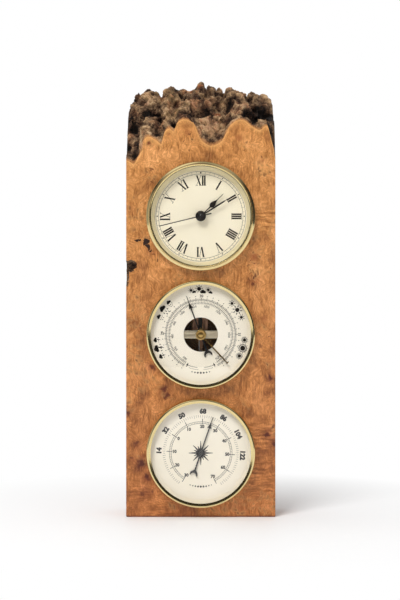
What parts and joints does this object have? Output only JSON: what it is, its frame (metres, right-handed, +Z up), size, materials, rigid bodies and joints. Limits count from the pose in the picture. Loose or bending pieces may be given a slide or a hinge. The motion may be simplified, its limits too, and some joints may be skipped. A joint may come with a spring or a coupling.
{
  "type": "weather station clock",
  "caption": "Upright burr wood slab with a natural craggy top, carrying a quartz clock, an aneroid barometer with an open movement and a dial thermometer as push-in inserts.",
  "frame": {"origin": "centre of the block's bottom face, on the surface that it stands on", "axes": "+Z up the block, +Y from the dials to the back, +X to the right as the dials are read"},
  "size_m": [0.1164, 0.0559, 0.3457],
  "materials": {
    "burr_wood": "oiled",
    "gilt_brass": "polished",
    "pale_gilt": "satin",
    "brass": "satin",
    "brown_copper": "bronzed",
    "nickel_sheet": "nickel plated",
    "steel": "plain",
    "black_metal": "satin black",
    "cream_enamel": "printed enamel",
    "clear_glass": "clear",
    "tinned_steel": "tinned",
    "black_plastic": "moulded",
    "pale_plastic": "moulded",
    "rubber": "ribbed",
    "copper_winding": "enamelled wire",
    "circuit_board": "lacquered",
    "cell_jacket": "printed"
  },
  "bodies": {
    "block": {"burr_block": "burr_wood"},
    "clock_insert": {"clock_bezel": "gilt_brass", "clock_glass": "clear_glass", "clock_inner_ring": "pale_gilt", "clock_dial": "cream_enamel", "clock_case": "black_plastic", "clock_grip_ring": "rubber", "dial_nut": "brass", "movement_front_cover": "black_plastic", "movement_rear_cover": "black_plastic", "train_plate": "pale_plastic", "battery_cell": "cell_jacket", "battery_contact_positive": "steel", "battery_contact_negative": "steel", "circuit_board": "circuit_board", "motor_coil": "copper_winding", "motor_stator": "steel"},
    "hour_hand": {"hour_hand": "black_metal", "hour_wheel": "pale_plastic"},
    "minute_hand": {"minute_hand": "black_metal", "cannon_pinion": "brass"},
    "second_hand": {"second_hand": "black_metal", "seconds_wheel": "brass"},
    "centre_wheel": {"centre_wheel": "brass"},
    "third_wheel": {"third_wheel": "brass"},
    "intermediate_wheel": {"intermediate_wheel": "pale_plastic"},
    "rotor": {"rotor": "black_plastic"},
    "motion_wheel": {"motion_wheel": "pale_plastic"},
    "setting_knob": {"setting_knob": "black_plastic"},
    "barometer_insert": {"barometer_bezel": "gilt_brass", "barometer_glass": "clear_glass", "barometer_dial": "cream_enamel", "barometer_case": "tinned_steel", "barometer_grip_ring": "rubber", "base_plate": "brass", "aneroid_capsule": "nickel_sheet", "main_spring": "brown_copper", "left_pillar": "brass", "right_pillar": "brass", "arbor_bridge": "nickel_sheet", "left_bridge_screw": "steel", "right_bridge_screw": "steel", "hairspring": "brass"},
    "pressure_hand": {"pressure_hand": "black_metal", "pointer_arbor": "brass"},
    "set_hand": {"set_hand": "brass", "set_knob": "brass"},
    "main_lever": {"main_lever": "brown_copper"},
    "rocking_shaft": {"rocking_shaft": "steel"},
    "pull_chain": {"pull_chain": "steel"},
    "adjusting_screw": {"adjusting_screw": "brass"},
    "thermometer_insert": {"thermometer_bezel": "gilt_brass", "thermometer_glass": "clear_glass", "thermometer_dial": "cream_enamel", "thermometer_case": "tinned_steel", "thermometer_grip_ring": "rubber", "coil_bracket": "nickel_sheet", "bimetal_coil": "nickel_sheet"},
    "temperature_hand": {"temperature_hand": "black_metal", "temperature_arbor": "brass"}
  },
  "joints": [
    {"name": "clock_pull", "type": "slide", "parent": "block", "child": "clock_insert", "axis": [0, -1, 0], "range_m": [0, 0.04]},
    {"name": "barometer_pull", "type": "slide", "parent": "block", "child": "barometer_insert", "axis": [0, -1, 0], "range_m": [0, 0.04]},
    {"name": "thermometer_pull", "type": "slide", "parent": "block", "child": "thermometer_insert", "axis": [0, -1, 0], "range_m": [0, 0.04]},
    {"name": "second_hand_turn", "type": "hinge", "parent": "clock_insert", "child": "second_hand", "pos_m": [0, -0.0225, 0.2346], "axis": [0, 1, 0], "continuous": true},
    {"name": "third_wheel_turn", "type": "hinge", "parent": "clock_insert", "child": "third_wheel", "pos_m": [-0.00839, -0.0225, 0.23944], "axis": [0, 1, 0], "continuous": true},
    {"name": "centre_wheel_turn", "type": "hinge", "parent": "clock_insert", "child": "centre_wheel", "pos_m": [0, -0.0225, 0.2346], "axis": [0, 1, 0], "continuous": true},
    {"name": "intermediate_wheel_turn", "type": "hinge", "parent": "clock_insert", "child": "intermediate_wheel", "pos_m": [0.00779, -0.0225, 0.2391], "axis": [0, 1, 0], "continuous": true},
    {"name": "rotor_turn", "type": "hinge", "parent": "clock_insert", "child": "rotor", "pos_m": [0.01507, -0.0225, 0.2349], "axis": [0, 1, 0], "continuous": true},
    {"name": "minute_hand_turn", "type": "hinge", "parent": "clock_insert", "child": "minute_hand", "pos_m": [0, -0.0225, 0.2346], "axis": [0, 1, 0], "continuous": true},
    {"name": "hour_hand_turn", "type": "hinge", "parent": "clock_insert", "child": "hour_hand", "pos_m": [0, -0.0225, 0.2346], "axis": [0, 1, 0], "continuous": true},
    {"name": "motion_wheel_turn", "type": "hinge", "parent": "clock_insert", "child": "motion_wheel", "pos_m": [0, -0.0225, 0.2426], "axis": [0, 1, 0], "continuous": true},
    {"name": "setting_knob_turn", "type": "hinge", "parent": "clock_insert", "child": "setting_knob", "pos_m": [0, -0.0225, 0.2506], "axis": [0, 1, 0], "continuous": true},
    {"name": "pressure_hand_turn", "type": "hinge", "parent": "barometer_insert", "child": "pressure_hand", "pos_m": [0, -0.0225, 0.1424], "axis": [0, 1, 0], "range_deg": [-129.6, 170.4]},
    {"name": "rocking_shaft_turn", "type": "hinge", "parent": "barometer_insert", "child": "rocking_shaft", "pos_m": [0, -0.0137, 0.1274], "axis": [1, 0, 0], "range_deg": [-28.5, 21.7]},
    {"name": "main_lever_turn", "type": "hinge", "parent": "barometer_insert", "child": "main_lever", "pos_m": [0, -0.0124, 0.1594], "axis": [1, 0, 0], "range_deg": [-1.9, 2.45]},
    {"name": "pull_chain_slide", "type": "slide", "parent": "barometer_insert", "child": "pull_chain", "axis": [0, 0, 1], "range_m": [-0.0021, 0.0027]},
    {"name": "set_hand_turn", "type": "hinge", "parent": "barometer_insert", "child": "set_hand", "pos_m": [0, -0.0225, 0.1424], "axis": [0, 1, 0], "continuous": true},
    {"name": "adjusting_screw_turn", "type": "hinge", "parent": "barometer_insert", "child": "adjusting_screw", "pos_m": [0, -0.0225, 0.1189], "axis": [0, 1, 0], "range_deg": [-180, 180]},
    {"name": "temperature_hand_turn", "type": "hinge", "parent": "thermometer_insert", "child": "temperature_hand", "pos_m": [0, -0.0225, 0.0502], "axis": [0, 1, 0], "range_deg": [-165.8, 134.2]}
  ],
  "couplings": [
    {"joint": "third_wheel_turn", "follows": "second_hand_turn", "ratio": -0.125},
    {"joint": "centre_wheel_turn", "follows": "second_hand_turn", "ratio": 0.016667},
    {"joint": "intermediate_wheel_turn", "follows": "second_hand_turn", "ratio": -5},
    {"joint": "rotor_turn", "follows": "second_hand_turn", "ratio": 30},
    {"joint": "hour_hand_turn", "follows": "minute_hand_turn", "ratio": 0.083333},
    {"joint": "motion_wheel_turn", "follows": "minute_hand_turn", "ratio": -0.33333},
    {"joint": "setting_knob_turn", "follows": "minute_hand_turn", "ratio": 1},
    {"joint": "rocking_shaft_turn", "follows": "pressure_hand_turn", "ratio": -0.16667},
    {"joint": "main_lever_turn", "follows": "pressure_hand_turn", "ratio": 0.014124},
    {"joint": "pull_chain_slide", "follows": "pressure_hand_turn", "m_per_rad": 0.00088333}
  ]
}
